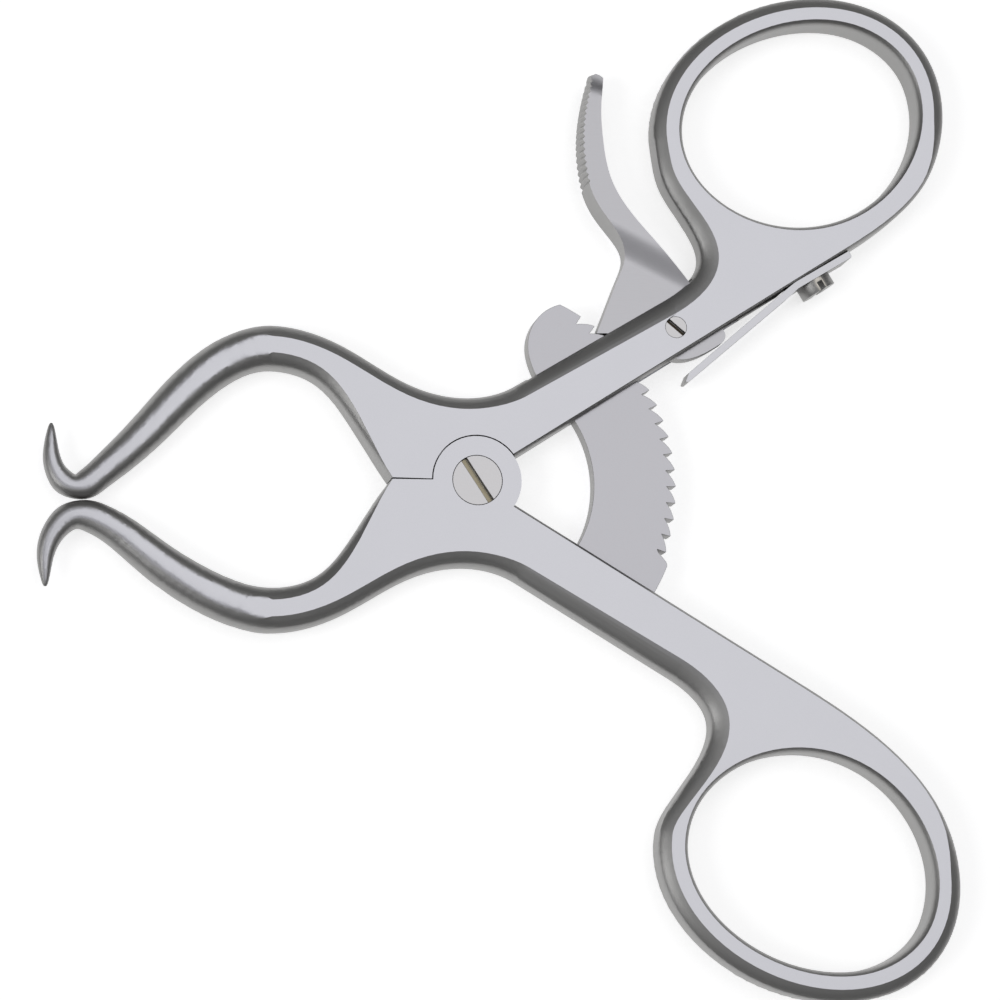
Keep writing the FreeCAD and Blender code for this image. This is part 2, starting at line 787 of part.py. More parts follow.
def lever_outline():
    """The plan curves of the lever's plate."""
    left, right, tail_centre, out = lever_sides()
    radius = size("tail_radius")
    tail_end = right.EndPoint
    tail_low = tail_centre - out * radius
    turn = toward(tail_centre, tail_end) - out
    corner = tail_centre + turn.normalize() * radius
    top = between(left.EndPoint, right.StartPoint, 0.5, 0.5)
    crown = top + toward(left.EndPoint, right.StartPoint).cross(UP) * -size("thumb_crown")
    pivot = lever_pivot()
    first, second = pawl_tip(1), pawl_tip(2)
    relief = size("pawl_relief")
    tip_radius = size("tooth_radius")
    pitch = size("tooth_pitch")
    first_angle = math.degrees(math.atan2(first.y, first.x))
    second_angle = math.degrees(math.atan2(second.y, second.x))
    notch_low = polar(tip_radius + relief * 0.6, first_angle - 0.45 * pitch) - pivot
    notch_high = polar(tip_radius + relief * 2.2, second_angle + 0.12 * pitch) - pivot
    belly = polar(tip_radius + relief * 3, second_angle - 0.8 * pitch) - pivot
    throat = along_shank(-size("throat_back"), -size("throat_drop"))
    chin = polar(tip_radius + relief * 4.2, size("shank_angle") + 9.5) - pivot
    under = smooth_curve([tail_low, throat, chin, belly], along_shank(-1, -0.05), toward(chin, belly))
    first, second = first - pivot, second - pivot
    return [
        left,
        arc(left.EndPoint, crown, right.StartPoint),
        right,
        arc(tail_end, corner, tail_low),
        under,
        line(belly, second),
        line(second, notch_high),
        line(notch_high, notch_low),
        line(notch_low, first),
        line(first, left.StartPoint),
    ]


def thumb_outline():
    """The plan curves of the wide thumb pad, the upper part of the lever."""
    left, right, _, _ = lever_sides()
    low_left = left.parameter(named_point("thumb_bend"))
    low_right = right.parameter(between(named_point("shoulder"), named_point("thumb_foot"), 0.2, 0.2))
    left.segment(low_left, left.LastParameter)
    right.segment(right.FirstParameter, low_right)
    top = between(left.EndPoint, right.StartPoint, 0.5, 0.5)
    crown = top + toward(left.EndPoint, right.StartPoint).cross(UP) * -size("thumb_crown")
    closing = line(right.EndPoint, left.StartPoint)
    return [left, arc(left.EndPoint, crown, right.StartPoint), right, closing]


def serrations():
    """The plan loops of the notches along the thumb pad's face."""
    left, _, _, _ = lever_sides()
    edge = left.toShape()
    loops = []
    for i in range(int(size("serration_count"))):
        back = edge.Length - (i + 1) * size("serration_pitch")
        at = edge.getParameterByLength(back)
        point, ahead = edge.valueAt(at), edge.tangentAt(at)
        out = Vector(-ahead.y, ahead.x, 0)
        half, depth = size("serration_pitch") / 2, size("serration_depth")
        bottom = point - out * depth
        low, high = (point + out * depth + ahead * (side * half * 1.6) for side in (-1, 1))
        loops += [line(low, high), line(high, bottom), line(bottom, low)]
    return loops


def level_lines(solid, height):
    """The names of the straight level edges at a height over and under mid thickness."""
    names = []
    for number, edge in enumerate(solid.Edges, start=1):
        straight = edge.Curve.TypeId == "Part::GeomLine"
        if straight and abs(abs(edge.CenterOfMass.z) - height) < 1e-6:
            names.append(f"Edge{number}")
    return names


def release_lever():
    """The lever with its pawl, bored for the screw it turns on."""
    body = doc.addObject("PartDesign::Body", "release_lever")
    pad(body, "lever_plate", sketch(body, "lever_plan", lever_outline()), "Sizes.sector_thickness")
    pad(body, "thumb_pad", sketch(body, "thumb_plan", thumb_outline()), "Sizes.thumb_width")
    doc.recompute()
    stepped = body.Tip
    ramp = body.newObject("PartDesign::Chamfer", "thumb_ramp")
    ramp.Base = (stepped, level_lines(stepped.Shape, size("thumb_width") / 2))
    bind(ramp, Size="Sizes.thumb_ramp")
    pocket(body, "thumb_serrations", sketch(body, "serration_plan", serrations()))
    bored(body, "lever_bore", "Sizes.lever_shank_radius + Sizes.running_gap")
    pivot = lever_pivot()
    body.Placement.Base = Vector(pivot.x, pivot.y, size("arm_thickness") / 2)
    return body


# Leaf spring, in its own frame: x along its seat, y out of the seat


def leaf_spring():
    """A bent strip, clamped at one end, narrower and thinner towards its free tip."""
    body = doc.addObject("PartDesign::Body", "leaf_spring")
    thick, tip_thick = size("spring_thickness"), size("spring_tip_thickness")
    angle = math.radians(size("spring_angle"))
    seat = size("spring_seat_end") - size("spring_seat_start")
    away = Vector(-math.cos(angle), -math.sin(angle), 0)
    under = Vector(math.sin(angle), -math.cos(angle), 0)
    tip = away * size("spring_length")
    bend_under = Vector(thick * math.tan(angle / 2), -thick, 0)
    bend = size("spring_bend")
    corners = [
        (Vector(0, 0, 0), bend),
        (tip, 0),
        (tip + under * tip_thick, tip_thick * 0.6),
        (bend_under, bend),
        (Vector(seat, -thick, 0), thick * 0.4),
        (Vector(seat, 0, 0), 0),
    ]
    profile = sketch(body, "spring_side", rounded_loop(corners))
    pad(body, "spring_strip", profile, "Sizes.spring_width")
    half, tip_half = size("spring_width") / 2, size("spring_tip_width") / 2
    far = -size("spring_length") - 1
    loops = []
    for side in (1, -1):
        wedge = [
            Vector(-1, side * half, 0),
            Vector(far, side * tip_half, 0),
            Vector(far, side * (half + 1), 0),
        ]
        loops += rounded_loop([(corner, 0) for corner in wedge])
    hole = Vector(size("spring_screw_along") - size("spring_seat_start"), 0, 0)
    loops.append(Part.Circle(hole, UP, size("spring_shank_radius") + size("running_gap")))
    pocket(body, "spring_trim", sketch(body, "spring_face_plan", loops, "XZ_Plane"))
    place = along_shank(size("spring_seat_start"), size("spring_seat"))
    base = place + UP * size("arm_thickness") / 2
    body.Placement = FreeCAD.Placement(base, FreeCAD.Rotation(UP, size("shank_angle")))
    return body


def upper_arm():
    """The upper arm: forging, lap, pivot thread, slot, lever screw seat and spring seat."""
    lapped = lap_joint("upper", arm_blank("upper"))
    thread = cylinder("pivot_thread", "Sizes.pivot_shank_radius", "Sizes.arm_thickness", z="-1")
    slot, seat = slot_cutter(), spring_seat_cutter()
    pivot = lever_pivot()
    hinge = doc.addObject("Part::Cylinder", "lever_hole")
    bind(hinge, Radius="Sizes.lever_shank_radius", Height="Sizes.arm_thickness + 2")
    hinge.Placement.Base = pivot - UP
    sink = doc.addObject("Part::Cylinder", "lever_head_sink")
    bind(sink, Radius="Sizes.lever_head_radius", Height="Sizes.lever_head_height + 1")
    sink.Placement.Base = pivot + UP * (size("arm_thickness") - size("lever_head_height"))
    tap = doc.addObject("Part::Cylinder", "spring_screw_thread")
    depth = "Sizes.spring_shank_length - Sizes.spring_thickness"
    bind(tap, Radius="Sizes.spring_shank_radius", Height=f"{depth} + 1")
    middle = UP * size("arm_thickness") / 2
    start = along_shank(size("spring_screw_along"), size("spring_seat") - 1)
    turn = FreeCAD.Rotation(UP, along_shank(0, 1))
    tap.Placement = FreeCAD.Placement(start + middle, turn)
    tools = fuse("upper_tools", thread, slot, seat, hinge, sink, tap)
    return cut("upper_arm", lapped, tools)


def lower_arm():
    """The lower arm: forging, lap, pivot bore with its head sink, and the mortise."""
    lapped = lap_joint("lower", arm_blank("lower"))
    gap = "Sizes.running_gap"
    bore = cylinder("pivot_bore", f"Sizes.pivot_shank_radius + {gap}", "Sizes.arm_thickness + 1")
    sink_low = f"Sizes.arm_thickness - Sizes.pivot_head_height - {gap}"
    sink_height = f"Sizes.pivot_head_height + {gap} + 1"
    sink = cylinder("pivot_sink", f"Sizes.pivot_head_radius + {gap}", sink_height, z=sink_low)
    room = size("tenon_gap")
    half = size("sector_thickness") / 2 + room
    middle = size("arm_thickness") / 2
    mortise = plan_prism("mortise", tenon(room), middle - half, middle + half)
    return cut("lower_arm", lapped, fuse("lower_tools", bore, sink, mortise))


def pivot_screw():
    """The pivot screw, flush with the lower arm's boss and threaded into the upper arm's."""
    item = screw("pivot_screw", "pivot", "Sizes.arm_thickness - Sizes.pivot_head_height")
    return bind(item, Placement__Base__z="Sizes.arm_thickness - Sizes.pivot_head_height")


def lever_screw():
    """The screw across the slot that the release lever turns on."""
    item = screw("lever_screw", "lever", "Sizes.arm_thickness - Sizes.lever_head_height")
    item.Placement.Base = lever_pivot() + UP * (size("arm_thickness") - size("lever_head_height"))
    return item


def spring_screw():
    """The screw that clamps the spring on its seat, its head towards the lower arm."""
    item = screw("spring_screw", "spring", "Sizes.spring_shank_length")
    level = size("spring_seat") - size("spring_thickness")
    place = along_shank(size("spring_screw_along"), level) + UP * size("arm_thickness") / 2
    item.Placement = FreeCAD.Placement(place, FreeCAD.Rotation(UP, along_shank(0, -1)))
    return item


def check_and_write(pieces):
    """Stop at any failed object, then write each piece under its own name."""
    for item in doc.Objects:
        if "Invalid" in item.State or "Error" in item.State:
            raise RuntimeError(f"{item.Name} failed: {item.State}")
    for item in pieces:
        if item.Shape.isNull() or not item.Shape.isValid():
            raise RuntimeError(f"{item.Label} has no valid shape")
    os.makedirs("parts", exist_ok=True)
    for item in pieces:
        item.Shape.exportStep(f"parts/{item.Label}.step")
        print(item.Label, len(item.Shape.Solids), round(item.Shape.Volume, 2))


PIECES = [
    upper_arm,
    lower_arm,
    pivot_screw,
    ratchet_sector,
    release_lever,
    lever_screw,
    leaf_spring,
    spring_screw,
]

if __name__ == "__main__":
    made = [make() for make in PIECES]
    doc.recompute()
    check_and_write(made)
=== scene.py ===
"""Looks of a self retaining spreader with finger rings, in satin stainless steel.

It lies flat with its tips together. Metres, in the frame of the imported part: +X runs from
the tips to the rings, +Z is up, and the origin is on the pivot axis at the underside.
"""

import logging
import math
from dataclasses import dataclass
from enum import Enum

import bpy
from mathutils import Matrix, Vector


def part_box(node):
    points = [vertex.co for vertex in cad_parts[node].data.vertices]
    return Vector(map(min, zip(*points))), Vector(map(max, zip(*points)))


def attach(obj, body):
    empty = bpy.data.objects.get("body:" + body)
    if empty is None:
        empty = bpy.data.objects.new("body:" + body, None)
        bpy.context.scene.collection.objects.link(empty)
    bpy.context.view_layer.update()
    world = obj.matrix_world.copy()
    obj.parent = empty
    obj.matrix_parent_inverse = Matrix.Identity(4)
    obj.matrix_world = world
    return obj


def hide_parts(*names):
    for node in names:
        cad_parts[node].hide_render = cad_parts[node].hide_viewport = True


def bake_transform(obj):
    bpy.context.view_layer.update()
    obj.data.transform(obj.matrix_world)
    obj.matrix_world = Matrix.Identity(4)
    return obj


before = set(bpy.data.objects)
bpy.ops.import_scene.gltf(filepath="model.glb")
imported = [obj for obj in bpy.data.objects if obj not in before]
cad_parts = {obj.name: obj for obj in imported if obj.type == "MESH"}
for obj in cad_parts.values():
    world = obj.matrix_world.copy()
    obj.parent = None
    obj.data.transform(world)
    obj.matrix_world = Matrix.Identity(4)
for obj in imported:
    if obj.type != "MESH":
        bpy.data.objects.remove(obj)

LOG = logging.getLogger("spreader")
MM = 0.001
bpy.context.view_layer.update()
WELD = 0.0005 * MM
SHANK_ANGLE = math.radians(31.2)
SHANK_RUN = Vector((math.cos(SHANK_ANGLE), math.sin(SHANK_ANGLE), 0))
SHANK_RISE = Vector((-math.sin(SHANK_ANGLE), math.cos(SHANK_ANGLE), 0))
MIX_SHARE, MIX_LOW, MIX_HIGH, MIX_COLOUR = 0, 6, 7, 2


class Body(Enum):
    """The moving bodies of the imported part."""

    LOWER = "lower_arm"
    UPPER = "upper_arm"
    LEVER = "release_lever"


class Slot(Enum):
    """The record's material slots."""

    SATIN = "satin_steel"
    MACHINED = "satin_steel_machined"
    SPRING = "spring_steel"
    SCREW = "screw_steel"


# Where the finger rings' centres lie in plan, with y counted towards the arm's own side
RING_CENTRES = {
    Body.LOWER: (38.9 * MM, 43.3 * MM),
    Body.UPPER: (39.9 * MM, 43.9 * MM),
}


# Shader maths


class Shade:
    """One output of a node tree, with arithmetic that adds Math nodes."""

    def __init__(self, recipe: "Recipe", socket: bpy.types.NodeSocket) -> None:
        """Wrap a socket.

        Args:
            recipe: The recipe whose tree holds the socket.
            socket: The output socket.
        """
        self.recipe = recipe
        self.socket = socket

    def _math(self, operation: str, first: object, second: object) -> "Shade":
        """Add one Math node.

        Args:
            operation: The Math node's operation.
            first: Its first value or link.
            second: Its second value or link.

        Returns:
            The node's result.
        """
        return self.recipe.node("ShaderNodeMath", {"operation": operation}, {0: first, 1: second})

    def __add__(self, other: object) -> "Shade":
        """Sum."""
        return self._math("ADD", self, other)

    def __radd__(self, other: object) -> "Shade":
        """Sum, reflected."""
        return self._math("ADD", other, self)

    def __sub__(self, other: object) -> "Shade":
        """Difference."""
        return self._math("SUBTRACT", self, other)

    def __rsub__(self, other: object) -> "Shade":
        """Difference, reflected."""
        return self._math("SUBTRACT", other, self)

    def __mul__(self, other: object) -> "Shade":
        """Product."""
        return self._math("MULTIPLY", self, other)

    def __rmul__(self, other: object) -> "Shade":
        """Product, reflected."""
        return self._math("MULTIPLY", other, self)


class Recipe:
    """A material being mixed from nodes."""

    def __init__(self, name: str) -> None:
        """Start an empty material.

        Args:
            name: The material's name.
        """
        self.material = bpy.data.materials.new(name)
        self.material.use_nodes = True
        self.tree = self.material.node_tree
        self.tree.nodes.clear()

    def node(self, kind: str, settings: dict, inputs: dict, output: int | str = 0) -> Shade | None:
        """Add one node.

        Args:
            kind: The node's type.
            settings: Attributes that are set first.
            inputs: Socket names or numbers with their values or links.
            output: The name or number of the output that is wanted.

        Returns:
            That output, or nothing where the node has none.
        """
        made = self.tree.nodes.new(kind)
        for name, value in settings.items():
            setattr(made, name, value)
        for key, value in inputs.items():
            if isinstance(value, Shade):
                self.tree.links.new(value.socket, made.inputs[key])
            else:
                made.inputs[key].default_value = value
        return Shade(self, made.outputs[output]) if made.outputs else None

    def place(self) -> Shade:
        """The point on the piece, in metres of its own frame."""
        return self.node("ShaderNodeTexCoord", {}, {}, "Object")

    def facing(self) -> Shade:
        """How level the surface lies.

        Returns:
            1 on a ground flat, 0 on an upright side.
        """
        normal = self.node("ShaderNodeTexCoord", {}, {}, "Normal")
        upward = self.node("ShaderNodeSeparateXYZ", {}, {0: normal}, "Z")
        return self.node("ShaderNodeMath", {"operation": "ABSOLUTE"}, {0: upward})

    def step(self, value: Shade, low: float, high: float) -> Shade:
        """A soft step from 0 to 1.

        Args:
            value: What is compared.
            low: Where the step starts.
            high: Where it ends.

        Returns:
            The step's height.
        """
        settings = {"interpolation_type": "SMOOTHSTEP"}
        inputs = {"Value": value, "From Min": low, "From Max": high}
        return self.node("ShaderNodeMapRange", settings, inputs)

    def noise(self, where: Shade, size: float, detail: float = 2.0) -> Shade:
        """Even noise from 0 to 1.

        Args:
            where: The point to read it at.
            size: The width of one patch in metres.
            detail: How many finer layers it has.

        Returns:
            The noise value.
        """
        inputs = {"Vector": where, "Scale": 1 / size, "Detail": detail}
        return self.node("ShaderNodeTexNoise", {}, inputs)

    def stretched(self, where: Shade, direction: float, ratio: float) -> Shade:
        """The point with one direction of the plan drawn out, for a brushed grain.

        Args:
            where: The point to change.
            direction: The grain's direction in the plan, in degrees.
            ratio: How much longer than wide a scratch is.

        Returns:
            The changed point.
        """
        turn = (0, 0, -math.radians(direction))
        inputs = {"Vector": where, "Rotation": turn, "Scale": (1 / ratio, 1, 1)}
        return self.node("ShaderNodeMapping", {"vector_type": "POINT"}, inputs)

    def blend(self, share: object, low: object, high: object) -> Shade:
        """A colour between two colours.

        Args:
            share: The second colour's share.
            low: The first colour.
            high: The second colour.

        Returns:
            The mixed colour.
        """
        inputs = {MIX_SHARE: share, MIX_LOW: low, MIX_HIGH: high}
        return self.node("ShaderNodeMix", {"data_type": "RGBA"}, inputs, MIX_COLOUR)

    def finish(self, surface: Shade) -> bpy.types.Material:
        """Send a surface to the output.

        Args:
            surface: The shader that the material shows.

        Returns:
            The finished material.
        """
        self.node("ShaderNodeOutputMaterial", {}, {"Surface": surface})
        return self.material


@dataclass(frozen=True)
class SteelFinish:
    """One finish of the steel: its colour, gloss and grain, with painted shade as a darker colour on
    its upright sides.
    """

    name: str
    colour: tuple[float, float, float]
    roughness: float
    # The upright sides' darker colour is painted shade; their roughness is their own finish
    side_shade_colour: tuple[float, float, float] = (0.36, 0.357, 0.352)
    side_roughness: float = 0.46
    shaded_side_levels: tuple[float, float] = (0.93, 0.995)
    spread: float = 0.05
    cloud: float = 0.06
    patch: float = 6 * MM
    speck_share: float = 0.6
    grain: float = 0.12 * MM
    relief: float = 0.005 * MM
    brushed: float | None = None
    brush_ratio: float = 14.0

    def material(self) -> bpy.types.Material:
        """Mix the finish, with painted shade on its upright sides.

        Returns:
            Its material.
        """
        recipe = Recipe(self.name)
        where = recipe.place()
        fine = where
        if self.brushed is not None:
            fine = recipe.stretched(where, self.brushed, self.brush_ratio)
        speck = recipe.noise(fine, self.grain, detail=3.0)
        tone = speck * self.speck_share + recipe.noise(where, self.patch) * (1 - self.speck_share)
        # Painted shade: upright sides get a darker colour that stands in for the shade on them; their
        # higher roughness is the sides' own finish
        flat = recipe.step(recipe.facing(), *self.shaded_side_levels)
        side = self._tint(recipe, tone, self.side_shade_colour)
        colour = recipe.blend(flat, side, self._tint(recipe, tone, self.colour))
        gloss = flat * (self.roughness - self.side_roughness) + (self.side_roughness - self.spread / 2)
        roughness = tone * self.spread + gloss
        relief = {"Strength": 1.0, "Distance": self.relief, "Height": speck}
        bump = recipe.node("ShaderNodeBump", {}, relief)
        inputs = {"Base Color": colour, "Metallic": 1.0, "Roughness": roughness, "Normal": bump}
        return recipe.finish(recipe.node("ShaderNodeBsdfPrincipled", {}, inputs))

    def _tint(self, recipe: Recipe, tone: Shade, colour: tuple[float, float, float]) -> Shade:
        """A colour that clouds a little.

        Args:
            recipe: The recipe being mixed.
            tone: The cloud's share.
            colour: The middle colour.

        Returns:
            The clouded colour.
        """
        light = (*(min(c * (1 + self.cloud), 1.0) for c in colour), 1)
        dark = (*(c * (1 - self.cloud) for c in colour), 1)
        return recipe.blend(tone, dark, light)


@dataclass(frozen=True)
class Finishes:
    """The finishes that the spreader has, with painted shade on their upright sides and in the screw
    slots.
    """

    satin: SteelFinish = SteelFinish("satin_steel", (0.60, 0.60, 0.635), 0.30)
    sector: SteelFinish = SteelFinish("sector_steel", (0.545, 0.54, 0.57), 0.36, relief=0.006 * MM)
    # The lever's painted side shade reaches further up its rounded pad
    lever: SteelFinish = SteelFinish(
        "lever_steel", (0.575, 0.57, 0.595), 0.40, shaded_side_levels=(0.45, 0.80), brushed=115.0
    )
    spring: SteelFinish = SteelFinish("spring_steel", (0.62, 0.62, 0.65), 0.34, brushed=31.0)
    screw: SteelFinish = SteelFinish("screw_steel", (0.63, 0.62, 0.63), 0.36, brushed=20.0)
    cheese: SteelFinish = SteelFinish("cheese_head_steel", (0.58, 0.55, 0.50), 0.36)
    # Slot floor: a brown tint, darkened as painted shade in the pivot screw's slot
    slot: SteelFinish = SteelFinish(
        "slot_floor_tint_and_shade_steel", (0.36, 0.32, 0.23), 0.38, cloud=0.3, grain=0.3 * MM
    )
    # Deep slot: near black, painted shade in the lever screw's slot
    deep_slot_shade: SteelFinish = SteelFinish("deep_slot_shade_steel", (0.07, 0.055, 0.04), 0.5, cloud=0.2)


# Bench: what is done to meshes by hand


def alone(piece: bpy.types.Object) -> None:
    """Select one object only and make it the active one.

    Args:
        piece: The object.
    """
    bpy.ops.object.select_all(action="DESELECT")
    piece.select_set(True)
    bpy.context.view_layer.objects.active = piece


def apply_modifier(piece: bpy.types.Object, kind: str, **settings: object) -> None:
    """Add a modifier and apply it.

    Args:
        piece: The object.
        kind: The modifier's type.
        settings: The modifier's settings.
    """
    alone(piece)
    made = piece.modifiers.new(kind.lower(), kind)
    for name, value in settings.items():
        setattr(made, name, value)
    bpy.ops.object.modifier_apply(modifier=made.name)


def cast(node: str, name: str, flatness: float = 0.4) -> bpy.types.Object:
    """A closed, merged copy of a node's solid, ready to be worked on.

    Args:
        node: The node's name.
        name: The new piece's name.
        flatness: Faces that turn by less than these degrees are joined.

    Returns:
        The copy.
    """
    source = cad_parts[node]
    piece = bpy.data.objects.new(name, source.data.copy())
    bpy.context.scene.collection.objects.link(piece)
    piece.data.materials.clear()
    alone(piece)
    bpy.ops.object.mode_set(mode="EDIT")
    bpy.ops.mesh.select_all(action="SELECT")
    bpy.ops.mesh.remove_doubles(threshold=WELD)
    bpy.ops.mesh.customdata_custom_splitnormals_clear()
    bpy.ops.mesh.dissolve_limited(angle_limit=math.radians(flatness), delimit=set())
    bpy.ops.object.mode_set(mode="OBJECT")
    return piece


def keep_ground_lines(piece: bpy.types.Object, level: float = 0.99995, lean: float = 0.996) -> None:
    """Keep the line crisp where a ground flat meets a rounded side.

    Args:
        piece: The object.
        level: A flat's normal has at least this upward share.
        lean: A side's normal has at most this upward share.
    """
    faces: dict[tuple[int, int], list[float]] = {}
    for face in piece.data.polygons:
        for key in face.edge_keys:
            faces.setdefault(key, []).append(abs(face.normal.z))
    for edge in piece.data.edges:
        shares = faces[tuple(sorted(edge.vertices))]
        if max(shares) > level and min(shares) < lean:
            edge.use_edge_sharp = True


def smooth(piece: bpy.types.Object, degrees: float = 32.0) -> None:
    """Shade a piece smooth, but for its edges sharper than an angle.

    Args:
        piece: The object.
        degrees: The angle.
    """
    alone(piece)
    bpy.ops.object.shade_smooth_by_angle(angle=math.radians(degrees))
    keep_ground_lines(piece)
    apply_modifier(piece, "WEIGHTED_NORMAL", keep_sharp=True, weight=80)


def ease(piece: bpy.types.Object, width: float, degrees: float = 40.0, segments: int = 2) -> None:
    """Take the sharpness off the edges of a piece.

    Args:
        piece: The object.
        width: The chamfer's width.
        degrees: Only edges sharper than this are eased.
        segments: The faces across each eased edge.
    """
    apply_modifier(
        piece,
        "BEVEL",
        width=width,
        segments=segments,
        limit_method="ANGLE",
        angle_limit=math.radians(degrees),
        miter_outer="MITER_ARC",
        use_clamp_overlap=True,
    )


def ramp(share: float) -> float:
    """A smooth step from 0 to 1.

    Args:
        share: How far along the step, from 0 to 1.

    Returns:
        The step's height there.
    """
    share = min(max(share, 0.0), 1.0)
    return share * share * (3 - 2 * share)


def slice_up(
    piece: bpy.types.Object, way: Vector, offsets: list[float], limit: float = math.inf
) -> None:
    """Cut lines round a piece where planes cross it.

    Args:
        piece: The object.
        way: The planes' normal.
        offsets: Where the planes stand along it.
        limit: Only faces whose middle has a smaller x are cut.
    """
    alone(piece)
    for face in piece.data.polygons:
        face.hide = face.center.x > limit
    bpy.ops.object.mode_set(mode="EDIT")
    for offset in offsets:
        bpy.ops.mesh.select_all(action="SELECT")
        bpy.ops.mesh.bisect(plane_co=way * offset, plane_no=way)
    bpy.ops.mesh.reveal(select=False)
    bpy.ops.object.mode_set(mode="OBJECT")


# The pieces


@dataclass
class Piece:
    """A finished piece with what it stands for, rides on and is made of."""

    made: bpy.types.Object
    body: Body
    slot: Slot
    nodes: tuple[str, ...]

    def seat(self) -> None:
        """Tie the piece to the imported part."""
        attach(self.made, self.body.value)
        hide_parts(*self.nodes)
        LOG.info("%s rides on %s", self.made.name, self.body.value)


@dataclass
class ForgedArm:
    """One arm: prong, bow, hub, shank and finger ring in one forging."""

    body: Body
    finish: bpy.types.Material
    ring_centre: tuple[float, float]
    hole_reach: float = 16.6 * MM
    hole_facing: float = -0.75
    polish: float = 1.0 * MM
    polish_power: float = 1.5
    polish_start: float = 1.0 * MM
    polish_full: float = 12.0 * MM
    flat_level: float = 0.9999
    inner_facing: float = -0.95
    inner_fade: float = 0.4
    bow_share: float = 0.42
    stop_reach: float = 9.0 * MM
    stop_fade: float = 5.0 * MM
    stop_facing: float = 0.2
    bow_apex: float = 23.6 * MM
    bow_fade: float = 9.0 * MM
    rod_span: tuple[float, float] = (24.0 * MM, 47.5 * MM)
    rod_slices: int = 40
    rod_rows: tuple[float, float, int] = (-1.5 * MM, 19.5 * MM, 42)
    rod_margin: float = 0.5 * MM
    rod_blend: float = 4.0 * MM
    rod_end: float = 43.0 * MM
    rod_fade: float = 3.0 * MM
    rod_passes: int = 10
    screw_place: tuple[float, float] = (23.73 * MM, 18.73 * MM)
    screw_room: float = 2.2 * MM
    boss_room: float = 5.5 * MM
    core: float = 1.3 * MM
    levels: tuple[float, ...] = (0.62, 0.7, 0.78, 0.86, 0.93, 0.97)

    @property
    def side(self) -> int:
        """The sign that turns the arm's own side towards +Y."""
        return 1 if self.body is Body.UPPER else -1

    def build(self) -> list[Piece]:
        """Work the arm's forging.

        Returns:
            The arm's pieces.
        """
        arm = cast(self.body.value, f"{self.body.name.lower()}_forging", flatness=0.01)
        self._polish(arm)
        self._draw_rod(arm)
        smooth(arm)
        arm.data.materials.append(self.finish)
        return [Piece(arm, self.body, Slot.SATIN, (self.body.value,))]

    def _polish(self, arm: bpy.types.Object) -> None:
        """Widen the rounding of the shank's and the ring's outer side, as polishing leaves it.

        Args:
            arm: The arm's forging.
        """
        low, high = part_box(self.body.value)
        middle = (low.z + high.z) / 2
        half = (high.z - low.z) / 2
        levels = [middle + side * share * half for share in self.levels for side in (-1, 1)]
        slice_up(arm, Vector((0, 0, 1)), levels)
        outward = [Vector((0, 0)) for _ in arm.data.vertices]
        for face in arm.data.polygons:
            if abs(face.normal.z) < self.flat_level:
                for corner in face.vertices:
                    outward[corner] += face.normal.to_2d() * face.area
        for vertex, way in zip(arm.data.vertices, outward):
            rise = (abs(vertex.co.z - middle) - self.core) / (half - self.core)
            if rise > 0 and way.length > 0:
                way.normalize()
                share = self._share(vertex.co.to_2d(), way)
                shift = way * (self.polish * share * rise**self.polish_power)
                vertex.co.x -= shift.x
                vertex.co.y -= shift.y

    def _share(self, place: Vector, way: Vector) -> float:
        """How much of the polish one place on a side gets.

        Args:
            place: The place in plan.
            way: The side's outward direction in plan.

        Returns:
            A share from 0 to 1.
        """
        place = Vector((place.x, place.y * self.side))
        way = Vector((way.x, way.y * self.side))
        from_screw = place - Vector(self.screw_place)
        if from_screw.length < self.screw_room or place.length < self.boss_room:
            return 0.0
        from_ring = place - Vector(self.ring_centre)
        towards_ring = way.dot(from_ring.normalized()) < self.hole_facing
        if from_ring.length < self.hole_reach and towards_ring:
            return 0.0
        if place.x > 0:
            grown = ramp((place.x - self.polish_start) / (self.polish_full - self.polish_start))
            outer = ramp((way.dot(SHANK_RISE.to_2d()) - self.inner_facing) / self.inner_fade)
            return (self.bow_share + (1 - self.bow_share) * grown) * outer
        near_stop = 1.0
        if way.y < self.stop_facing:
            near_stop = ramp((-place.x - self.stop_reach) / self.stop_fade)
        past_apex = 1 - ramp((-place.x - self.bow_apex) / self.bow_fade)
        return self.bow_share * near_stop * past_apex

    def _draw_rod(self, arm: bpy.types.Object) -> None:
        """Even out the tapering rod between the bow and the hooked tip.

        Args:
            arm: The arm's forging.
        """
        near, far = self.rod_span
        step = (far - near) / self.rod_slices
        limit = self.rod_margin - near
        across = [near + step * number for number in range(self.rod_slices + 1)]
        slice_up(arm, Vector((-1, 0, 0)), across, limit)
        first, last, count = self.rod_rows
        rows = [self.side * (first + (last - first) * number / count) for number in range(count + 1)]
        slice_up(arm, Vector((0, 1, 0)), rows, limit)
        group = arm.vertex_groups.new(name="rod")
        for vertex in arm.data.vertices:
            share = ramp((-vertex.co.x - near) / self.rod_blend)
            share *= ramp((self.rod_end + vertex.co.x) / self.rod_fade)
            if share > 0:
                group.add([vertex.index], share, "REPLACE")
        apply_modifier(arm, "SMOOTH", factor=0.5, iterations=self.rod_passes, vertex_group=group.name)
        arm.vertex_groups.clear()


@dataclass
class RatchetSector:
    """The toothed sector tenoned in the lower arm."""

    finish: bpy.types.Material
    edge: float = 0.08 * MM

    def build(self) -> list[Piece]:
        """Work the sector.

        Returns:
            The sector's piece.
        """
        sector = cast("ratchet_sector", "sector_plate")
        ease(sector, self.edge)
        smooth(sector)
        sector.data.materials.append(self.finish)
        return [Piece(sector, Body.LOWER, Slot.MACHINED, ("ratchet_sector",))]


